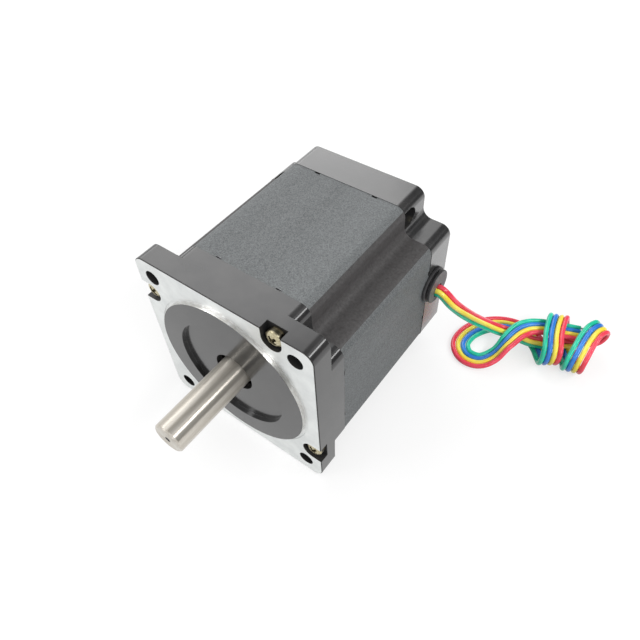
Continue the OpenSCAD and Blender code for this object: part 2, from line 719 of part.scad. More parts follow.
// Centre of one strand of the bundle at place t
function strand_at(t, strand) = let (
  c = curve_at(route, t),
  wide = bundle_side(t),
  high = cross(bundle_dir(t), wide),
  half = strand[0] * lead_pitch / 2,
  u = half * (1 + 2 * strand[1] * sin(c[5])),
  w = half * cos(c[5]) * (1 - 2 * strand[1])
) [c[0], c[1], c[2]] + (u * cos(c[4]) - w * sin(c[4])) * wide + (u * sin(c[4]) + w * cos(c[4])) * high;

function stations(t0, t1, step) = let (n = round((t1 - t0) / step)) [for (k = [0 : n]) t0 + (t1 - t0) * k / n];

// Tube along a strand from place t0 to t1, whose ends lie square across the bundle
module strand_tube(strand, t0, t1, step, sides) {
  places = stations(t0, t1, step);
  last = len(places) - 1;
  centres = [for (t = places) strand_at(t, strand)];
  rings = [for (k = [0 : last]) let (
    along = k == 0 || k == last ? bundle_dir(places[k]) : unit(centres[k + 1] - centres[k - 1]),
    side = bundle_side(places[k]),
    a = unit(side - (side * along) * along),
    b = cross(along, a)
  ) each [for (s = [0 : sides - 1]) centres[k] + lead_r * (cos(360 * s / sides) * a + sin(360 * s / sides) * b)]];
  skin = [for (k = [0 : last - 1], s = [0 : sides - 1]) let (
    i = k * sides + s,
    j = k * sides + (s + 1) % sides
  ) each [[i, i + sides, j], [j, i + sides, j + sides]]];
  caps = [for (s = [1 : sides - 2]) each [[0, s, s + 1], [last * sides, last * sides + s + 1, last * sides + s]]];
  polyhedron(rings, concat(skin, caps));
}

function path_lengths(points, k = 0, sum = 0) = k == len(points) ? []
  : let (here = k == 0 ? 0 : sum + norm(points[k] - points[k - 1])) concat([here], path_lengths(points, k + 1, here));

// Smallest space between turns of one strand, measured on its points
function least_gap(points) = let (runs = path_lengths(points))
  min([for (i = [0 : len(points) - 1], j = [i + 1 : 1 : len(points) - 1])
    if (runs[j] - runs[i] > near_l) norm(points[j] - points[i])]) - lead_d;

module free_lead(strand) strand_tube(strand, 0, hank_start, free_step, free_sides);

module hank(strand) {
  end = len(route) - 1;
  points = [for (t = stations(hank_start, end, hank_step)) strand_at(t, strand)];
  runs = path_lengths(points);
  echo(least_gap = least_gap(points), length = runs[len(runs) - 1]);
  strand_tube(strand, hank_start, end, hank_step, hank_sides);
}

module lead_ends() color("lightgray") {
  end = len(route) - 1;
  d = bundle_dir(end);
  for (s = strands) translate(strand_at(end, s)) rotate([0, acos(d.z), atan2(d.y, d.x)])
    cylinder(h = wire_l, r = wire_d / 2, $fn = fine);
}

front_bell();
stator_core();
rear_bell();
front_insulator();
rear_insulator();
coils(0);  // coils_phase_a
coils(1);  // coils_phase_b
terminal_board();
lead_tails();
grommet();
tie_screws();
tie_washers();
shaft();
rotor_core(core_1_y, 0);  // rotor_core_1
rotor_core(core_2_y, 1);  // rotor_core_2
rotor_core(core_3_y, 0);  // rotor_core_3
rotor_core(core_4_y, 1);  // rotor_core_4
color("black") rotor_disc(magnet_1_y, magnet_t, magnet_d);  // rotor_magnet_front
color("black") rotor_disc(magnet_2_y, magnet_t, magnet_d);  // rotor_magnet_rear
color("tan") rotor_disc(spacer_y, spacer_t, magnet_d);  // rotor_spacer
outer_ring(front_bearing_y, front_bearing_w, front_bearing_bore, front_bearing_d, front_ball_d);  // front_bearing_outer_ring
inner_ring(front_bearing_y, front_bearing_w, front_bearing_bore, front_bearing_d, front_ball_d);  // front_bearing_inner_ring
balls(front_bearing_y, front_bearing_w, front_bearing_bore, front_bearing_d, front_ball_d, front_balls);  // front_bearing_balls
cage(front_bearing_y, front_bearing_w, front_bearing_bore, front_bearing_d, front_ball_d, front_balls);  // front_bearing_cage
shields(front_bearing_y, front_bearing_w, front_bearing_bore, front_bearing_d, front_ball_d);  // front_bearing_shields
outer_ring(rear_bearing_y, rear_bearing_w, rear_bearing_bore, rear_bearing_d, rear_ball_d);  // rear_bearing_outer_ring
inner_ring(rear_bearing_y, rear_bearing_w, rear_bearing_bore, rear_bearing_d, rear_ball_d);  // rear_bearing_inner_ring
balls(rear_bearing_y, rear_bearing_w, rear_bearing_bore, rear_bearing_d, rear_ball_d, rear_balls);  // rear_bearing_balls
cage(rear_bearing_y, rear_bearing_w, rear_bearing_bore, rear_bearing_d, rear_ball_d, rear_balls);  // rear_bearing_cage
shields(rear_bearing_y, rear_bearing_w, rear_bearing_bore, rear_bearing_d, rear_ball_d);  // rear_bearing_shields
wave_washer();
color("tomato") free_lead(red_strand);  // lead_red
color("khaki") free_lead(yellow_strand);  // lead_yellow
color("royalblue") free_lead(blue_strand);  // lead_blue
color("mediumseagreen") free_lead(green_strand);  // lead_green
color("tomato") hank(red_strand);  // hank_red
color("khaki") hank(yellow_strand);  // hank_yellow
color("royalblue") hank(blue_strand);  // hank_blue
color("mediumseagreen") hank(green_strand);  // hank_green
lead_ends();
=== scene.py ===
import bpy
import math
from mathutils import Euler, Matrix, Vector


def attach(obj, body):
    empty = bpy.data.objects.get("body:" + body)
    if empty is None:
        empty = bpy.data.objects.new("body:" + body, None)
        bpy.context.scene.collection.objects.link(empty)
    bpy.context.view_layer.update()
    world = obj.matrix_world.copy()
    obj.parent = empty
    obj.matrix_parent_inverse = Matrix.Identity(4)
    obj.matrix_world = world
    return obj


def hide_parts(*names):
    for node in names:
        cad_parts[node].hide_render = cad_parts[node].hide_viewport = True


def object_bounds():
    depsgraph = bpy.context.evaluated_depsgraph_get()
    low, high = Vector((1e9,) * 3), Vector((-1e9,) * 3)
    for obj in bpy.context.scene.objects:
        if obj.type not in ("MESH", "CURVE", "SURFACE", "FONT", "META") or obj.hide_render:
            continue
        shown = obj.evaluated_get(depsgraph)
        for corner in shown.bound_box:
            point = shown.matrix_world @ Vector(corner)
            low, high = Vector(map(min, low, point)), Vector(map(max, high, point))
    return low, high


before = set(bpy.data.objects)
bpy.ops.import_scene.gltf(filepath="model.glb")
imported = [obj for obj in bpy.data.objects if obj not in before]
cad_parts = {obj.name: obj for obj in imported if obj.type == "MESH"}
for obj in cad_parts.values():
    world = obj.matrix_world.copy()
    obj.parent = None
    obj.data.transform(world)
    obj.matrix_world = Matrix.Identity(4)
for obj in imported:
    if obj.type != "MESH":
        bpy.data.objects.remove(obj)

cad_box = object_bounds()
scene = bpy.context.scene
mm = 0.001

# Sizes of the motor, in mm
# Half of the square frame's width, and the radius of the flange's corners
frame_half = 43.0
flange_r = 5.0
# Where the stator's stack starts and ends behind the flange's front face
stator_start = 17.0
stator_end = 80.0
# Radii of the pilot, the turned relief round it, the shaft's hole and the stator's inside
pilot_r = 36.5
relief_r = 37.8
bore_r = 9.25
yoke_r = 38.0
# Depths that the insides of the front and the rear bell start and end at
front_inside = 5.9
rear_inside = 94.0
# Distance of the corner notches' walls from the middle
notch_wall = 29.2
# Place of a tie screw, half the width of its head's pocket, the pocket's wall and its floor
tie_x = 24.7
tie_z = 38.5
pocket_half = 4.7
pocket_wall = 33.7
pocket_floor = 4.6
# Reach and depth of the cross recess in a screw's head
cross_r = 2.1
cross_floor = 2.6
# Depth of the chamfers and the relief in the flange's face, and where its outer corners begin
face_cut = 0.45
corner_reach = 40
# Place of the grommet's outer face, right and back, and how deep the painted light on that face reaches
grommet_face = (46.3, 84.0)
painted_light_depth = 0.5
# Place and radius of the centre mark in the shaft's tip
mark_end = -35
mark_r = 1.4
# Radius of a lead, and the distance between two of them
lead_r = 1.15
lead_pitch = 2.45
# Bare end of a lead: its length, its strands, their radius and how far out they lie
bare_length = 5.7
strand_count = 7
strand_r = 0.19
strand_ring_r = 0.35


# Camera, fitted to the photograph's view
def make_camera():
    data = bpy.data.cameras.new("camera")
    data.lens = 33.99
    data.sensor_width = 36.0
    data.clip_start = 0.005
    data.clip_end = 20.0
    camera = bpy.data.objects.new("camera", data)
    scene.collection.objects.link(camera)
    camera.location = (0.117719, -0.087800, 0.200108)
    camera.rotation_euler = Euler([math.radians(a) for a in (39.88154, 2.14011, 36.41383)])
    scene.camera = camera


make_camera()

# Leads
# Route of the bundle, as in the part's source: how far right and back from the grommet's face its
# middle is and its height over the floor, in mm, then in degrees the direction of its flat side,
# its twist, and how far it is opened from a square bundle, at 0, to a flat ribbon, at 90
lead_route = [
    (0, 0, 45.5, 90, 105, 0), (1.7, 0, 45.5, 90, 105, 0), (4.3, 0.4, 43.5, 94, 105, 0),
    (6.8, 1.6, 39.9, 104, 105, 0), (8.9, 4, 35.7, 117, 105, 0), (10.7, 7.3, 30.9, 128, 105, 0),
    (12.5, 11.3, 25.6, 136, 105, 0), (14.5, 15.9, 19.8, 140, 105, 0), (17.5, 21, 13.8, 138, 102, 0),
    (22.2, 26.2, 8.1, 127, 98, 0), (27.4, 29, 5.8, 111, 92, 0), (33.2, 30, 5.6, 98, 90, 0),
    (39.2, 30.6, 5.6, 101, 92, 0), (45, 32.8, 5.7, 114, 100, 0), (50.2, 36, 5.8, 122, 118, 0),
    (54.6, 39.6, 5.7, 127, 142, 0), (58.4, 43.2, 5.8, 131, 165, 20), (61.8, 46.8, 5.6, 136, 178, 60),
    (64.4, 50, 7.1, 141, 180, 85), (65.5, 51.6, 11, 146, 180, 90), (64.6, 50, 14.3, 152, 180, 90),
    (62.9, 45.4, 15.3, 160, 180, 90), (62.1, 39.8, 14.7, 167, 180, 90), (62, 34.6, 13.8, 173, 180, 90),
    (62.1, 30.4, 13.3, 177, 180, 90), (62.1, 27.2, 11.5, 182, 180, 90), (62.1, 25.6, 7.2, 190, 180, 90),
    (61.6, 27.2, 3, 199, 180, 90), (60.2, 31, 1.4, 208, 180, 90), (57.4, 35.4, 1.4, 214, 180, 90),
    (54.2, 39.8, 1.4, 218, 180, 90), (50.8, 43.8, 1.4, 218, 180, 90), (48, 47, 3, 214, 180, 90),
    (46.1, 48.8, 7.2, 207, 180, 90), (45.3, 47.6, 11.7, 201, 180, 90), (45.6, 43.4, 13.5, 196, 180, 90),
    (46.7, 38, 13.4, 194, 180, 90), (48.2, 32.9, 13.2, 195, 180, 90), (49.9, 28.2, 13.2, 198, 180, 90),
    (51.2, 24.8, 11.4, 202, 180, 90), (51.6, 23.2, 7.2, 208, 180, 90), (50.6, 24.7, 3, 215, 180, 90),
    (48, 28.4, 1.4, 222, 180, 90), (43.8, 33, 1.4, 231, 180, 90), (38, 36.8, 1.4, 246, 180, 90),
    (31.2, 38.4, 1.4, 265, 180, 90), (24.2, 37, 1.4, 287, 180, 90), (18, 33, 1.4, 308, 180, 90),
    (13.4, 27, 1.4, 326, 180, 90), (10.8, 20, 1.4, 345, 180, 90), (11.2, 12.8, 1.4, 372, 180, 90),
    (16.4, 7.8, 1.4, 412, 180, 90), (23.6, 8.8, 1.6, 450, 180, 90), (28.4, 14.6, 3.8, 471, 180, 90),
    (30.8, 21.6, 8.4, 482, 180, 90), (32.8, 28.4, 10.5, 487, 180, 90), (35.8, 34.2, 10.3, 484, 180, 90),
    (40.6, 38.2, 9.9, 472, 180, 90), (46.6, 40.6, 9.9, 463, 180, 90), (52.2, 42.2, 10.3, 463, 180, 90),
    (57.6, 44, 10.4, 468, 180, 90),
]
route = [(grommet_face[0] + x, grommet_face[1] + y, h - frame_half, turn, twist, opened)
         for x, y, h, turn, twist, opened in lead_route]
# Points drawn between two points of the route
route_steps = 8
# Side of the bundle that each lead is on, and 1 for an outer strand of the ribbon
strands = {"red": (1, 1), "yellow": (1, 0), "blue": (-1, 0), "green": (-1, 1)}


def route_place(t):
    """Values of the route and their slopes at place t, counted in its points, on a smooth curve
    through them."""
    last = len(route) - 1
    i = min(int(t), last - 1)
    u = t - i

    def pick(k):
        if k < 0:
            return [2 * a - b for a, b in zip(route[0], route[1])]
        if k > last:
            return [2 * a - b for a, b in zip(route[last], route[last - 1])]
        return route[k]

    value, slope = [], []
    for a, b, c, d in zip(pick(i - 1), pick(i), pick(i + 1), pick(i + 2)):
        square, cube = 2 * a - 5 * b + 4 * c - d, 3 * b - a - 3 * c + d
        value.append(b + u / 2 * (c - a) + u * u / 2 * square + u ** 3 / 2 * cube)
        slope.append((c - a) / 2 + u * square + 1.5 * u * u * cube)
    return value, slope


def strand_point(t, strand):
    """Middle of one lead at place t, in metres, and the bundle's direction there."""
    value, slope = route_place(t)
    along = Vector(slope[:3]).normalized()
    turn, twist, opened = (math.radians(a) for a in value[3:])
    flat = Vector((math.cos(turn), math.sin(turn), 0))
    wide = (flat - flat.dot(along) * along).normalized()
    high = along.cross(wide)
    side, outer = strand
    half = side * lead_pitch / 2
    across = half * (1 + 2 * outer * math.sin(opened))
    over = half * math.cos(opened) * (1 - 2 * outer)
    point = Vector(value[:3]) + (across * math.cos(twist) - over * math.sin(twist)) * wide
    point += (across * math.sin(twist) + over * math.cos(twist)) * high
    return point * mm, along


def deselect_all():
    if bpy.context.mode != "OBJECT":
        bpy.ops.object.mode_set(mode="OBJECT")
    bpy.ops.object.select_all(action="DESELECT")


def take_up(piece):
    """Makes the piece the only one that the next operators work on."""
    deselect_all()
    piece.select_set(True)
    bpy.context.view_layer.objects.active = piece


def keep_in_box(piece, first=0.0):
    """Brings corners that a bevel or a round wire put past the solid part back onto its box, and
    back behind first mm."""
    low, high = cad_box
    for corner in piece.data.vertices:
        corner.co = [min(max(v, a), b) for v, a, b in zip(corner.co, low, high)]
        if first:
            corner.co.y = max(corner.co.y, first * mm)


def wire_line(name, points, radius, roundness):
    """A round wire along the points, in metres."""
    curve = bpy.data.curves.new(name, "CURVE")
    curve.dimensions = "3D"
    spline = curve.splines.new("POLY")
    spline.points.add(len(points) - 1)
    for dot, point in zip(spline.points, points):
        dot.co = (*point, 1)
    spline.use_smooth = True
    curve.bevel_depth = radius
    curve.bevel_resolution = roundness
    curve.use_fill_caps = True
    wire = bpy.data.objects.new(name, curve)
    scene.collection.objects.link(wire)
    return wire


def lead_tube(colour):
    """One lead's insulation along its route, the points that it follows and its length."""
    steps = range(route_steps * (len(route) - 1) + 1)
    points = [strand_point(k / route_steps, strands[colour])[0] for k in steps]
    lead = wire_line(colour + "_lead", points, lead_r * mm, 5)
    take_up(lead)
    bpy.ops.object.convert(target="MESH")
    bpy.ops.object.mode_set(mode="EDIT")
    bpy.ops.mesh.select_all(action="SELECT")
    bpy.ops.mesh.remove_doubles(threshold=0.000001)
    bpy.ops.mesh.normals_make_consistent(inside=False)
    bpy.ops.object.mode_set(mode="OBJECT")
    bpy.ops.object.shade_smooth_by_angle(angle=math.radians(40))
    length = sum((b - a).length for a, b in zip(points, points[1:]))
    return lead, points, length


def bare_wire(colour):
    """The stripped end: six tinned strands twisted round a middle one, drawn in a little at the
    tip."""
    end, along = strand_point(len(route) - 1, strands[colour])
    side = along.orthogonal().normalized()
    up = along.cross(side)
    deselect_all()
    parts = []
    steps = 24
    for k in range(strand_count):
        points = []
        for j in range(steps + 1):
            a = math.radians(60 * k + 14 * j)
            r = strand_ring_r * mm * (1 - 0.25 * (j / steps) ** 4)
            if k == strand_count - 1:
                r = 0
            middle = end + along * (bare_length * mm * j / steps)
            points.append(middle + r * (math.cos(a) * side + math.sin(a) * up))
        parts.append(wire_line("tinned_strand", points, strand_r * mm, 2))
    for obj in parts:
        obj.select_set(True)
    bpy.context.view_layer.objects.active = parts[0]
    bpy.ops.object.convert(target="MESH")
    bpy.ops.object.join()
    wire = bpy.context.view_layer.objects.active
    wire.name = colour + "_wire_end"
    return wire


lead_pieces = {}
for colour in strands:
    lead, line, length = lead_tube(colour)
    keep_in_box(lead)
    wire = bare_wire(colour)
    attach(lead, "case")
    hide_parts("lead_" + colour, "hank_" + colour)
    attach(wire, "case")
    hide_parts("lead_ends")
    lead_pieces[colour] = (lead, wire)


# Materials
class Nodes:
    """The nodes of a material or of the world."""

    def __init__(self, owner, kind):
        owner.use_nodes = True
        self.tree = owner.node_tree
        self.tree.nodes.clear()
        self.out = self.add(kind)

    def add(self, kind, **settings):
        node = self.tree.nodes.new(kind)
        for key, value in settings.items():
            setattr(node, key, value)
        return node

    def link(self, a, a_socket, b, b_socket):
        self.tree.links.new(a.outputs[a_socket], b.inputs[b_socket])

    def seen_directly(self):
        """1 where the eye, a reflection or glass looks at it, and 0 for the light it gives."""
        rays = self.add("ShaderNodeLightPath")
        first = self.add("ShaderNodeMath", operation="MAXIMUM")
        self.link(rays, "Is Camera Ray", first, 0)
        self.link(rays, "Is Glossy Ray", first, 1)
        second = self.add("ShaderNodeMath", operation="MAXIMUM")
        self.link(first, "Value", second, 0)
        self.link(rays, "Is Transmission Ray", second, 1)
        return second, "Value"


class Finish(Nodes):
    """A material whose colour, gloss and relief nodes draw from the place on the motor. A pattern
    is a node with the name of its socket."""

    def __init__(self, name, colour, roughness, metallic=0.0, ior=1.5):
        self.material = bpy.data.materials.new(name)
        super().__init__(self.material, "ShaderNodeOutputMaterial")
        self.shader = self.add("ShaderNodeBsdfPrincipled")
        self.link(self.shader, "BSDF", self.out, "Surface")
        self.shader.inputs["Base Color"].default_value = (*colour, 1)
        self.shader.inputs["Roughness"].default_value = roughness
        self.shader.inputs["Metallic"].default_value = metallic
        self.shader.inputs["IOR"].default_value = ior
        self.place = self.add("ShaderNodeTexCoord")
        self.height = None

    def feed(self, pattern, node, socket):
        self.link(*pattern, node, socket)

    def stretched(self, scale):
        node = self.add("ShaderNodeMapping")
        node.inputs["Scale"].default_value = scale
        self.link(self.place, "Object", node, "Vector")
        return node

    def noise(self, scale, detail=3.0, rough=0.55, stretch=(1, 1, 1)):
        """Noise whose grains are about 1 / scale metres."""
        node = self.add("ShaderNodeTexNoise")
        node.inputs["Scale"].default_value = scale
        node.inputs["Detail"].default_value = detail
        node.inputs["Roughness"].default_value = rough
        self.link(self.stretched(stretch), "Vector", node, "Vector")
        return node, "Fac"

    def rings(self, pitch):
        """Turning marks: rings about the motor's axis, pitch metres apart."""
        flat = self.add("ShaderNodeVectorMath", operation="MULTIPLY")
        flat.inputs[1].default_value = (1, 0, 1)
        self.link(self.place, "Object", flat, 0)
        out = self.add("ShaderNodeVectorMath", operation="LENGTH")
        self.link(flat, "Vector", out, 0)
        return self.sine(out, "Value", pitch)

    def along(self, axis):
        """The place along one axis, in metres."""
        split = self.add("ShaderNodeSeparateXYZ")
        self.link(self.place, "Object", split, "Vector")
        return split, axis

    def lines(self, axis, pitch):
        """Lines across one axis, pitch metres apart."""
        return self.sine(*self.along(axis), pitch)

    def sine(self, node, socket, pitch):
        turns = self.combine("MULTIPLY", (node, socket), 2 * math.pi / pitch)
        wave = self.combine("SINE", turns)
        return self.combine("MULTIPLY_ADD", wave, 0.5, 0.5)

    def combine(self, operation, *values):
        """A pattern worked out from patterns and numbers."""
        node = self.add("ShaderNodeMath", operation=operation)
        for k, value in enumerate(values):
            if isinstance(value, tuple):
                self.feed(value, node, k)
            else:
                node.inputs[k].default_value = value
        return node, "Value"

    def ramp(self, pattern, low, high, at=(0.35, 0.65)):
        """Two colours that follow a pattern, and where in it they lie."""
        node = self.add("ShaderNodeValToRGB")
        self.feed(pattern, node, "Fac")
        for stop, place, value in zip(node.color_ramp.elements, at, (low, high)):
            stop.position = place
            stop.color = (*value, 1)
        return node, "Color"

    def either(self, choice, a, b):
        """Pattern a where choice is 0, and pattern or colour b where it is 1."""
        mix = self.add("ShaderNodeMix", data_type="RGBA")
        self.feed(choice, mix, "Factor")
        first, second, result = 6, 7, 2
        self.feed(a, mix, first)
        if isinstance(b[0], float):
            mix.inputs[second].default_value = (*b, 1)
        else:
            self.feed(b, mix, second)
        return mix, result

    def colour(self, pattern):
        self.feed(pattern, self.shader, "Base Color")

    def roughness(self, pattern, low, high):
        node = self.add("ShaderNodeMapRange")
        self.feed(pattern, node, "Value")
        node.inputs["To Min"].default_value = low
        node.inputs["To Max"].default_value = high
        self.link(node, "Result", self.shader, "Roughness")

    def turned(self, amount):
        """Fine marks round the motor's axis, which draw highlights out along it."""
        node = self.add("ShaderNodeTangent", direction_type="RADIAL", axis="Y")
        self.link(node, "Tangent", self.shader, "Tangent")
        self.shader.inputs["Anisotropic"].default_value = amount
        self.shader.inputs["Anisotropic Rotation"].default_value = 0.25

    def relief(self, pattern, depth, strength):
        """Bump from a pattern, depth metres from low to high. A second one lies on the first."""
        node = self.add("ShaderNodeBump")
        node.inputs["Strength"].default_value = strength
        node.inputs["Distance"].default_value = depth
        self.feed(pattern, node, "Height")
        if self.height:
            self.link(self.height, "Normal", node, "Normal")
        self.height = node
        for old in list(self.shader.inputs["Normal"].links):
            self.tree.links.remove(old)
        self.link(node, "Normal", self.shader, "Normal")


def gloss_paint():
    f = Finish("gloss_black_paint", (0.030, 0.029, 0.030), 0.24, ior=1.61)
    f.colour(f.ramp(f.noise(90, 2), (0.024, 0.024, 0.025), (0.038, 0.037, 0.037)))
    f.roughness(f.noise(260, 3), 0.12, 0.20)
    f.relief(f.noise(900, 2), 0.000008, 0.3)
    return f.material


def rear_bell_paint():
    f = Finish("gloss_black_paint_on_rear_bell", (0.030, 0.029, 0.030), 0.2, ior=1.5)
    f.colour(f.ramp(f.noise(90, 2), (0.024, 0.024, 0.025), (0.038, 0.037, 0.037)))
    f.roughness(f.noise(260, 3), 0.20, 0.30)
    f.shader.inputs["Coat Weight"].default_value = 0.9
    f.shader.inputs["Coat Roughness"].default_value = 0.24
    f.relief(f.noise(900, 2), 0.00001, 0.3)
    return f.material


# Near black that paints the shade in the screw pockets and in the bore round the shaft, and a dark
# reflection on the flange's front rim
def black_painted_shade():
    f = Finish("black_painted_shade_in_pockets_bore_and_rim", (0.010, 0.010, 0.011), 0.55)
    f.colour(f.ramp(f.noise(500, 3), (0.007, 0.007, 0.008), (0.016, 0.015, 0.015)))
    f.relief(f.noise(1500, 2), 0.00003, 0.5)
    return f.material


def milled_face():
    f = Finish("milled_aluminium_face", (0.86, 0.87, 0.87), 0.42, metallic=0.85)
    f.colour(f.ramp(f.noise(140, 4), (0.70, 0.72, 0.715), (0.80, 0.82, 0.81)))
    f.roughness(f.noise(1200, 3), 0.36, 0.50)
    f.relief(f.rings(0.00035), 0.000004, 0.5)
    f.relief(f.noise(2500, 2), 0.000006, 0.5)
    return f.material


def turned_bright():
    f = Finish("turned_aluminium_pilot", (0.78, 0.76, 0.74), 0.3, metallic=1.0)
    f.colour(f.ramp(f.noise(420, 3, stretch=(1, 4, 1)), (0.66, 0.64, 0.61), (0.86, 0.85, 0.84)))
    f.roughness(f.noise(600, 2, stretch=(1, 12, 1)), 0.24, 0.38)
    f.turned(0.9)
    f.relief(f.noise(300, 2, stretch=(1, 22, 1)), 0.000006, 0.5)
    return f.material


def stator_paint():
    f = Finish("matt_paint_on_laminations", (0.17, 0.18, 0.183), 0.6, ior=1.7)
    bands = f.combine("MULTIPLY", f.noise(60, 3, stretch=(1, 0.05, 1)), 0.15)
    both = f.combine("MULTIPLY_ADD", f.noise(2000, 4, 0.75), 0.85, bands)
    f.colour(f.ramp(both, (0.045, 0.050, 0.052), (0.190, 0.203, 0.207), (0.36, 0.66)))
    f.roughness(f.noise(400, 3), 0.52, 0.72)
    f.relief(f.lines("Y", 0.0005), 0.000012, 0.5)
    f.relief(f.noise(1700, 4, 0.75), 0.00010, 0.9)
    return f.material


# The stator's paint with a blotchy grain, drawn darker in the corner notches as painted shade
def stator_notch_painted_shade():
    f = Finish("blotchy_paint_with_painted_shade_in_notches", (0.06, 0.055, 0.053), 0.55, ior=1.45)
    f.colour(f.ramp(f.noise(900, 5, 0.7), (0.046, 0.043, 0.043), (0.085, 0.081, 0.081), (0.3, 0.7)))
    f.roughness(f.noise(300, 3), 0.42, 0.66)
    f.relief(f.lines("Y", 0.0005), 0.00002, 0.7)
    f.relief(f.noise(1200, 4, 0.7), 0.00006, 0.7)
    return f.material


def ground_steel():
    f = Finish("ground_steel_shaft", (0.60, 0.56, 0.50), 0.3, metallic=0.66)
    f.colour(f.ramp(f.noise(700, 4, stretch=(1, 0.04, 1)), (0.53, 0.49, 0.425), (0.645, 0.61, 0.55)))
    f.roughness(f.noise(240, 3, stretch=(0.4, 10, 0.4)), 0.30, 0.37)
    f.turned(0.92)
    f.relief(f.noise(260, 2, stretch=(0.3, 26, 0.3)), 0.000004, 0.4)
    return f.material


def yellow_zinc():
    f = Finish("yellow_zinc_screws", (0.46, 0.41, 0.27), 0.3, metallic=1.0)
    f.colour(f.ramp(f.noise(1400, 3), (0.36, 0.31, 0.19), (0.62, 0.57, 0.40), (0.3, 0.7)))
    f.roughness(f.noise(900, 3), 0.22, 0.42)
    f.relief(f.noise(1800, 2), 0.00001, 0.5)
    return f.material


def zinc_head_side_painted_shade():
    """Yellow zinc that is bright to 1.5 mm behind the flange's face and is darkened from 2.3 mm toward
    the pocket's floor, a painted shade on the heads' sides."""
    f = Finish("zinc_with_painted_shade_on_head_sides", (0.20, 0.17, 0.11), 0.45, metallic=0.9)
    depth = f.combine("MULTIPLY", f.along("Y"), 100)
    f.colour(f.ramp(depth, (0.52, 0.47, 0.32), (0.05, 0.044, 0.03), (0.15, 0.23)))
    f.roughness(f.noise(900, 3), 0.3, 0.5)
    f.relief(f.noise(1800, 2), 0.00001, 0.5)
    return f.material


# Near-black steel that paints the shade in the hollow of the centre mark in the shaft's tip
def centre_mark_painted_shade():
    f = Finish("steel_darkened_as_painted_shade_in_centre_hole", (0.08, 0.08, 0.08), 0.5, metallic=0.6)
    f.colour(f.ramp(f.noise(900, 2), (0.05, 0.05, 0.05), (0.11, 0.11, 0.11)))
    f.relief(f.rings(0.0003), 0.00001, 0.5)
    return f.material


def rubber():
    f = Finish("black_rubber", (0.035, 0.034, 0.036), 0.45, ior=1.6)
    f.colour(f.ramp(f.noise(400, 3), (0.026, 0.025, 0.027), (0.052, 0.050, 0.052)))
    f.roughness(f.noise(700, 3), 0.40, 0.62)
    f.relief(f.noise(1800, 3), 0.00003, 0.5)
    return f.material


# Rubber drawn lighter grey as painted light on the grommet's outer face, which is turned to the right
def rubber_face_painted_light():
    f = Finish("rubber_with_painted_light_on_outer_face", (0.060, 0.057, 0.060), 0.3, ior=1.75)
    f.colour(f.ramp(f.noise(400, 3), (0.085, 0.080, 0.084), (0.130, 0.124, 0.129)))
    f.roughness(f.noise(700, 3), 0.42, 0.58)
    f.relief(f.noise(1800, 3), 0.00002, 0.4)
    return f.material


def insulation(colour, low, high):
    f = Finish(colour + "_insulation", high, 0.3, ior=1.5)
    f.colour(f.ramp(f.noise(130, 3), low, high))
    f.roughness(f.noise(500, 2), 0.12, 0.22)
    f.relief(f.noise(420, 2), 0.00002, 0.3)
    return f.material


def worked_metal(name, low, high, roughness, pitch=0.0004, metallic=1.0):
    f = Finish(name, high, roughness, metallic=metallic)
    f.colour(f.ramp(f.noise(800, 4, 0.65), low, high, (0.25, 0.75)))
    f.roughness(f.noise(700, 3), roughness * 0.8, roughness * 1.25)
    f.relief(f.rings(pitch), 0.000004, 0.5)
    f.relief(f.noise(1500, 2), 0.00001, 0.4)
    return f.material


def moulded(name, low, high, roughness=0.45):
    f = Finish(name, high, roughness)
    f.colour(f.ramp(f.noise(200, 3), low, high))
    f.roughness(f.noise(800, 3), roughness * 0.85, roughness * 1.2)
    f.relief(f.noise(1800, 3), 0.00002, 0.4)
    return f.material


def copper_windings():
    f = Finish("enamelled_copper", (0.62, 0.25, 0.10), 0.3, metallic=0.8)
    # The rings draw the grooves between the turns darker, a painted shade in step with their relief
    f.colour(f.ramp(f.rings(0.0006), (0.30, 0.10, 0.035), (0.75, 0.33, 0.14)))
    f.roughness(f.noise(900, 3), 0.24, 0.4)
    f.relief(f.rings(0.0006), 0.00012, 0.8)
    return f.material


def circuit_board():
    """A green board whose rim, where the leads are soldered, is tinned."""
    rim = 0.03498
    f = Finish("green_board_with_pads", (0.02, 0.12, 0.05), 0.4)
    pad = f.combine("LESS_THAN", f.along("X"), rim)
    weave = f.ramp(f.noise(1400, 2), (0.015, 0.10, 0.045), (0.03, 0.16, 0.07))
    f.colour(f.either(pad, weave, (0.75, 0.74, 0.72)))
    f.feed(pad, f.shader, "Metallic")
    f.relief(f.noise(1600, 2), 0.00002, 0.4)
    return f.material


def tail_colours():
    """The four leads inside the grommet, told apart by their place in the bundle."""
    between_rows, between_upper, between_lower = 0.0025, 0.0837, 0.0843
    f = Finish("insulation_of_four_tails", (0.6, 0.1, 0.1), 0.3)
    top = f.combine("GREATER_THAN", f.along("Z"), between_rows)
    upper = f.combine("GREATER_THAN", f.along("Y"), between_upper)
    lower = f.combine("GREATER_THAN", f.along("Y"), between_lower)
    grain = f.noise(130, 3)
    red = f.ramp(grain, (0.62, 0.03, 0.05), (0.80, 0.06, 0.09))
    yellow = f.ramp(grain, (0.75, 0.60, 0.05), (0.90, 0.76, 0.10))
    blue = f.ramp(grain, (0.02, 0.13, 0.55), (0.04, 0.20, 0.70))
    green = f.ramp(grain, (0.02, 0.42, 0.22), (0.04, 0.58, 0.32))
    f.colour(f.either(top, f.either(lower, green, blue), f.either(upper, yellow, red)))
    f.relief(f.noise(420, 2), 0.00003, 0.35)
    return f.material


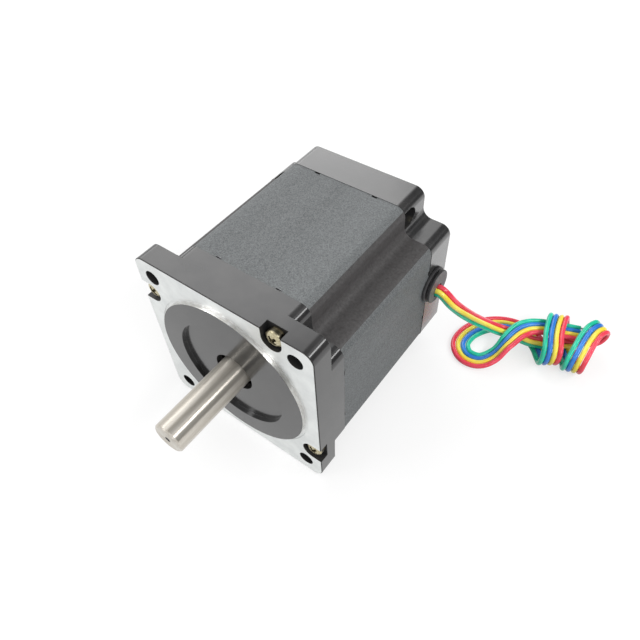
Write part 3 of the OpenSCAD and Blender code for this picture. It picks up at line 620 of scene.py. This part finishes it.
paint = gloss_paint()
rear_paint = rear_bell_paint()
pocket = black_painted_shade()
milled = milled_face()
turned = turned_bright()
stator_skin = stator_paint()
stator_notch_shaded = stator_notch_painted_shade()
steel_shaft = ground_steel()
zinc = yellow_zinc()
zinc_side_shaded = zinc_head_side_painted_shade()
steel_shaded_in_mark = centre_mark_painted_shade()
# Darkened zinc that paints the shade in the cross recesses and on the washers under the screw heads
zinc_painted_shade = worked_metal("zinc_darkened_as_painted_shade", (0.10, 0.085, 0.05), (0.20, 0.17, 0.11), 0.5)
rubber_black = rubber()
rubber_painted_light = rubber_face_painted_light()
cast = worked_metal("cast_aluminium_inside", (0.50, 0.50, 0.51), (0.64, 0.64, 0.65), 0.5)
rotor_steel = worked_metal("rotor_lamination_steel", (0.25, 0.25, 0.26), (0.38, 0.38, 0.39), 0.45)
magnet = worked_metal("sintered_magnet", (0.10, 0.10, 0.11), (0.17, 0.17, 0.18), 0.5)
spacer = worked_metal("spacer_aluminium", (0.62, 0.62, 0.63), (0.75, 0.75, 0.76), 0.35)
bearing_steel = worked_metal("bearing_steel", (0.58, 0.58, 0.59), (0.70, 0.70, 0.71), 0.15, 0.0002)
shield_steel = worked_metal("pressed_shield_steel", (0.45, 0.45, 0.46), (0.56, 0.56, 0.57), 0.3)
spring_steel = worked_metal("spring_steel", (0.30, 0.31, 0.33), (0.42, 0.43, 0.46), 0.3)
tinned = worked_metal("tinned_copper_wire", (0.66, 0.64, 0.60), (0.82, 0.81, 0.78), 0.28)
nylon_white = moulded("ivory_nylon", (0.66, 0.62, 0.50), (0.78, 0.74, 0.62))
nylon_cage = moulded("cage_nylon", (0.55, 0.42, 0.20), (0.66, 0.52, 0.28))
copper = copper_windings()
board = circuit_board()
tails = tail_colours()
insulations = {
    "red": insulation("red", (0.84, 0.045, 0.085), (0.95, 0.085, 0.14)),
    "yellow": insulation("yellow", (0.93, 0.74, 0.05), (1.0, 0.88, 0.12)),
    "blue": insulation("blue", (0.025, 0.18, 0.66), (0.05, 0.28, 0.85)),
    "green": insulation("green", (0.015, 0.55, 0.33), (0.04, 0.72, 0.47)),
}

for colour, (lead, wire) in lead_pieces.items():
    lead.data.materials.append(insulations[colour])
    wire.data.materials.clear()
    wire.data.materials.append(tinned)


# Pieces on the CAD nodes
def copy_node(node, name):
    """A copy of a CAD node's mesh, joined into whole faces, as the start of a finished piece."""
    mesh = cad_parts[node].data.copy()
    mesh.materials.clear()
    piece = bpy.data.objects.new(name, mesh)
    scene.collection.objects.link(piece)
    take_up(piece)
    if mesh.has_custom_normals:
        bpy.ops.mesh.customdata_custom_splitnormals_clear()
    bpy.ops.object.mode_set(mode="EDIT")
    bpy.ops.mesh.select_all(action="SELECT")
    bpy.ops.mesh.remove_doubles(threshold=0.000002)
    bpy.ops.mesh.dissolve_limited(angle_limit=math.radians(0.5))
    bpy.ops.object.mode_set(mode="OBJECT")
    return piece


def close_joint(piece, joint, width):
    """Brings the bevel's corners back onto the joint's plane, at joint mm, so that no groove shows
    between two parts that are clamped together."""
    slack = 0.005
    for corner in piece.data.vertices:
        if abs(corner.co.y / mm - joint) < width + slack:
            corner.co.y = joint * mm


def soften(piece, width, segments=2, angle=30.0, joints=()):
    """Rounds the edges that turn by more than angle degrees, width mm wide, apart from those in
    the joints' planes, and shades the curves smooth."""
    take_up(piece)
    bpy.ops.object.shade_smooth()
    bevel = piece.modifiers.new("rounded_edges", "BEVEL")
    bevel.width = width * mm
    bevel.segments = segments
    bevel.limit_method = "ANGLE"
    bevel.angle_limit = math.radians(angle)
    bevel.use_clamp_overlap = False
    bpy.ops.object.modifier_apply(modifier=bevel.name)
    for joint in joints:
        close_joint(piece, joint, width)
    if joints:
        bpy.ops.object.shade_smooth_by_angle(angle=math.radians(40))
    shading = piece.modifiers.new("flat_faces_stay_flat", "WEIGHTED_NORMAL")
    shading.mode = "FACE_AREA_WITH_ANGLE"
    shading.keep_sharp = True
    bpy.ops.object.modifier_apply(modifier=shading.name)


def bevel_edges(piece, chosen, width, segments):
    """Bevels the edges whose two ends, in mm, chosen picks."""
    take_up(piece)
    bpy.ops.object.mode_set(mode="EDIT")
    bpy.ops.mesh.select_mode(type="EDGE")
    bpy.ops.mesh.select_all(action="DESELECT")
    bpy.ops.object.mode_set(mode="OBJECT")
    corners = piece.data.vertices
    for edge in piece.data.edges:
        a, b = (corners[k].co / mm for k in edge.vertices)
        edge.select = chosen(a, b)
    bpy.ops.object.mode_set(mode="EDIT")
    bpy.ops.mesh.bevel(offset=width * mm, segments=segments, affect="EDGES")
    bpy.ops.object.mode_set(mode="OBJECT")


def paint_faces(piece, materials, choose):
    """Gives each face the material that choose picks for it. It is told the face's middle in mm,
    its normal, and its least and greatest distance from the shaft's axis."""
    for material in materials:
        piece.data.materials.append(material)
    corners = piece.data.vertices
    for face in piece.data.polygons:
        reach = [math.hypot(corners[k].co.x, corners[k].co.z) / mm for k in face.vertices]
        material = choose(face.center / mm, face.normal, min(reach), max(reach))
        face.material_index = materials.index(material)


def finish_piece(piece, node, body):
    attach(piece, body)
    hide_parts(node)


def quarter_turns(place):
    """The place's x and z, seen from each of the motor's four sides."""
    x, z = place.x, place.z
    for _ in range(4):
        yield x, z
        x, z = -z, x


def in_screw_pocket(place):
    return any(abs(x - tie_x) < pocket_half and z > pocket_wall for x, z in quarter_turns(place))


def in_cross_recess(place):
    near_screw = any(math.hypot(x - tie_x, z - tie_z) < cross_r for x, z in quarter_turns(place))
    return near_screw and place.y < cross_floor


def front_bell_face(c, n, near, far):
    if c.y > front_inside and far < yoke_r:
        return cast
    # Painted shade: the bore round the shaft is drawn near black
    if far < bore_r + 0.3:
        return pocket
    if pilot_r - 0.1 < near and far < pilot_r + 0.2 and abs(n.y) < 0.5:
        return turned
    # Painted reflection: the chamfer round the flange's front face is drawn near black, as a dark
    # reflection
    if far > corner_reach and c.y < face_cut and -0.98 < n.y < -0.1:
        return pocket
    if near > pilot_r and c.y < face_cut and (n.y < -0.99 or far < relief_r + 0.3):
        return milled
    # Painted shade: the screw pockets' walls and floors are drawn near black
    if 0.2 < c.y < pocket_floor and in_screw_pocket(c):
        return pocket
    return paint


def rear_bell_face(c, n, near, far):
    return cast if far < yoke_r and c.y < rear_inside else rear_paint


def stator_face(c, n, near, far):
    if far < yoke_r + 0.1 or abs(n.y) > 0.5:
        return rotor_steel
    x, z = abs(c.x), abs(c.z)
    # Painted shade: the notches' faces take a darker copy of the stator's paint
    in_notch = min(x, z) > notch_wall - 1.2 and max(x, z) < frame_half - 0.35
    return stator_notch_shaded if in_notch else stator_skin


def shaft_face(c, n, near, far):
    # Painted shade: the walls of the centre mark are drawn near black
    in_mark = c.y < mark_end and far < mark_r and abs(n.y) < 0.9
    return steel_shaded_in_mark if in_mark else steel_shaft


def grommet_rim(c, n, near, far):
    # Painted light: the grommet's face turned to the right is drawn lighter
    return rubber_painted_light if n.x > 0.9 and c.x > grommet_face[0] - painted_light_depth else rubber_black


def screw_face(c, n, near, far):
    # Painted shade: the walls of the cross recess take the darkened zinc
    if in_cross_recess(c) and abs(n.y) < 0.9:
        return zinc_painted_shade
    # Painted shade: the heads' sides darken toward the pocket's floor
    on_side = 0.6 < c.y < 4.0 and abs(n.y) < 0.6
    return zinc_side_shaded if on_side else zinc


def washer_face(c, n, near, far):
    # Painted shade: the washers under the heads are drawn in the darkened zinc
    return zinc_painted_shade


def on_flange_outline(a, b):
    """Whether two corners are on the outer edge of the flange's front face."""
    for p in (a, b):
        x, z = abs(p.x), abs(p.z)
        corner = math.hypot(x - frame_half + flange_r, z - frame_half + flange_r)
        on_corner = min(x, z) > frame_half - flange_r and abs(corner - flange_r) < 0.05
        if abs(p.y) > 0.01 or not (on_corner or max(x, z) > frame_half - 0.02):
            return False
    return True


def make_front_bell():
    piece = copy_node("front_bell", "front_bell_painted")
    bevel_edges(piece, on_flange_outline, 0.32, 2)
    soften(piece, 0.16, angle=35.0, joints=[stator_start])
    keep_in_box(piece)
    paint_faces(piece, [paint, pocket, milled, turned, cast], front_bell_face)
    finish_piece(piece, "front_bell", "case")


def make_rear_bell():
    piece = copy_node("rear_bell", "rear_bell_painted")
    soften(piece, 0.12, joints=[stator_end])
    keep_in_box(piece, stator_end)
    paint_faces(piece, [rear_paint, cast], rear_bell_face)
    finish_piece(piece, "rear_bell", "case")


def make_stator():
    piece = copy_node("stator_core", "stator_laminations")
    soften(piece, 0.06, 1, joints=[stator_start, stator_end])
    paint_faces(piece, [stator_skin, stator_notch_shaded, rotor_steel], stator_face)
    finish_piece(piece, "stator_core", "case")


def make_shaft():
    piece = copy_node("shaft", "ground_shaft")
    soften(piece, 0.12)
    paint_faces(piece, [steel_shaft, steel_shaded_in_mark], shaft_face)
    finish_piece(piece, "shaft", "rotor")


def make_grommet():
    piece = copy_node("grommet", "rubber_grommet")
    soften(piece, 0.3, 3)
    paint_faces(piece, [rubber_black, rubber_painted_light], grommet_rim)
    finish_piece(piece, "grommet", "case")


def make_tie_screws():
    piece = copy_node("tie_screws", "tie_screws_zinc")
    soften(piece, 0.12)
    paint_faces(piece, [zinc, zinc_painted_shade, zinc_side_shaded], screw_face)
    finish_piece(piece, "tie_screws", "case")


def make_tie_washers():
    piece = copy_node("tie_washers", "spring_washers_zinc")
    soften(piece, 0.08)
    paint_faces(piece, [zinc_painted_shade], washer_face)
    finish_piece(piece, "tie_washers", "case")


make_front_bell()
make_rear_bell()
make_stator()
make_shaft()
make_grommet()
make_tie_screws()
make_tie_washers()

# Finishes of the nodes that stay as they are
node_finishes = {
    "front_insulator": nylon_white, "rear_insulator": nylon_white,
    "coils_phase_a": copper, "coils_phase_b": copper,
    "terminal_board": board, "lead_tails": tails,
    "rotor_core_1": rotor_steel, "rotor_core_2": rotor_steel,
    "rotor_core_3": rotor_steel, "rotor_core_4": rotor_steel,
    "rotor_magnet_front": magnet, "rotor_magnet_rear": magnet, "rotor_spacer": spacer,
    "front_bearing_outer_ring": bearing_steel, "front_bearing_inner_ring": bearing_steel,
    "front_bearing_balls": bearing_steel, "front_bearing_cage": nylon_cage,
    "front_bearing_shields": shield_steel,
    "rear_bearing_outer_ring": bearing_steel, "rear_bearing_inner_ring": bearing_steel,
    "rear_bearing_balls": bearing_steel, "rear_bearing_cage": nylon_cage,
    "rear_bearing_shields": shield_steel,
    "wave_washer": spring_steel,
}
for node, material in node_finishes.items():
    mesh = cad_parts[node].data
    mesh.materials.clear()
    mesh.materials.append(material)


# Floor, world and lights
def make_floor():
    floor_size = 8
    near, far = 0.35, 1.7
    glow_near, glow_far = 0.65, 0.79
    deselect_all()
    bpy.ops.mesh.primitive_plane_add(size=floor_size, location=(0, 0, -frame_half * mm))
    floor = bpy.context.object
    floor.name = "floor"
    bpy.ops.object.transform_apply(location=True, rotation=True, scale=True)
    material = bpy.data.materials.new("white_table")
    table = Nodes(material, "ShaderNodeOutputMaterial")
    both = table.add("ShaderNodeAddShader")
    matt = table.add("ShaderNodeBsdfDiffuse")
    matt.inputs["Color"].default_value = (0.38, 0.38, 0.38, 1)
    glow = table.add("ShaderNodeEmission")
    glow.inputs["Color"].default_value = (1, 1, 1, 1)
    place = table.add("ShaderNodeTexCoord")
    away = table.add("ShaderNodeVectorMath", operation="LENGTH")
    table.link(place, "Object", away, 0)
    # White where the lamps don't reach, so that no horizon shows
    whiter = table.add("ShaderNodeMapRange", interpolation_type="SMOOTHSTEP")
    whiter.inputs["From Min"].default_value = near
    whiter.inputs["From Max"].default_value = far
    whiter.inputs["To Min"].default_value = glow_near
    whiter.inputs["To Max"].default_value = glow_far
    table.link(away, "Value", whiter, "Value")
    strength = table.add("ShaderNodeMath", operation="MULTIPLY")
    table.link(*table.seen_directly(), strength, 0)
    table.link(whiter, "Result", strength, 1)
    table.link(strength, "Value", glow, "Strength")
    table.link(matt, "BSDF", both, 0)
    table.link(glow, "Emission", both, 1)
    table.link(both, "Shader", table.out, "Surface")
    floor.data.materials.append(material)


def make_world():
    light_given, white_seen = 0.55, 1.0
    world = bpy.data.worlds.new("studio")
    scene.world = world
    room = Nodes(world, "ShaderNodeOutputWorld")
    background = room.add("ShaderNodeBackground")
    background.inputs["Color"].default_value = (1, 1, 1, 1)
    strength = room.add("ShaderNodeMapRange")
    room.link(*room.seen_directly(), strength, "Value")
    strength.inputs["To Min"].default_value = light_given
    strength.inputs["To Max"].default_value = white_seen
    room.link(strength, "Result", background, "Strength")
    room.link(background, "Background", room.out, "Surface")


def soft_light(name, place, aim, size, power):
    data = bpy.data.lights.new(name, "AREA")
    data.shape = "RECTANGLE"
    data.size, data.size_y = size
    data.energy = power
    light = bpy.data.objects.new(name, data)
    scene.collection.objects.link(light)
    light.location = place
    light.rotation_euler = (Vector(aim) - Vector(place)).to_track_quat("-Z", "Y").to_euler()


def grey_card(name, place, aim, width, height, grey):
    """A card beside the table that only shows as a reflection in glossy paint and metal."""
    deselect_all()
    bpy.ops.mesh.primitive_plane_add(size=1)
    card = bpy.context.object
    card.name = name
    card.scale = (width, height, 1)
    card.rotation_euler = (Vector(aim) - Vector(place)).to_track_quat("Z", "Y").to_euler()
    card.location = place
    bpy.ops.object.transform_apply(location=True, rotation=True, scale=True)
    material = bpy.data.materials.new(name)
    material.use_nodes = True
    shader = material.node_tree.nodes["Principled BSDF"]
    shader.inputs["Base Color"].default_value = (grey, grey, grey, 1)
    shader.inputs["Roughness"].default_value = 1.0
    card.data.materials.append(material)
    card.visible_camera = False
    card.visible_diffuse = False
    card.visible_shadow = False
    card.visible_transmission = False


def make_lights():
    soft_light("soft_box_left", (-0.90, 0.78, 0.86), (0.02, 0.04, 0), (1.1, 0.9), 5.9)
    soft_light("strip_light_left", (-0.80, -0.55, 0.77), (0, -0.02, 0), (0.9, 0.20), 4.0)
    soft_light("strip_light_right", (0.88, 0.05, 0.82), (0, 0.05, 0), (1.6, 0.22), 9.5)
    grey_card("card_right", (1.15, 0.60, 0.78), (0, 0.60, 0.78), 1.9, 1.6, 0.02)
    grey_card("card_front_right", (1.15, -0.95, 0.78), (0, -0.95, 0.78), 1.2, 1.6, 0.35)
    grey_card("card_behind", (0.45, 1.40, 0.90), (0.45, 0, 0.90), 1.40, 1.8, 0.02)
    grey_card("card_above", (0.20, 0.10, 1.70), (0.20, 0.10, 0), 1.10, 1.9, 0.5)


make_floor()
make_world()
make_lights()
scene.view_settings.view_transform = "Standard"
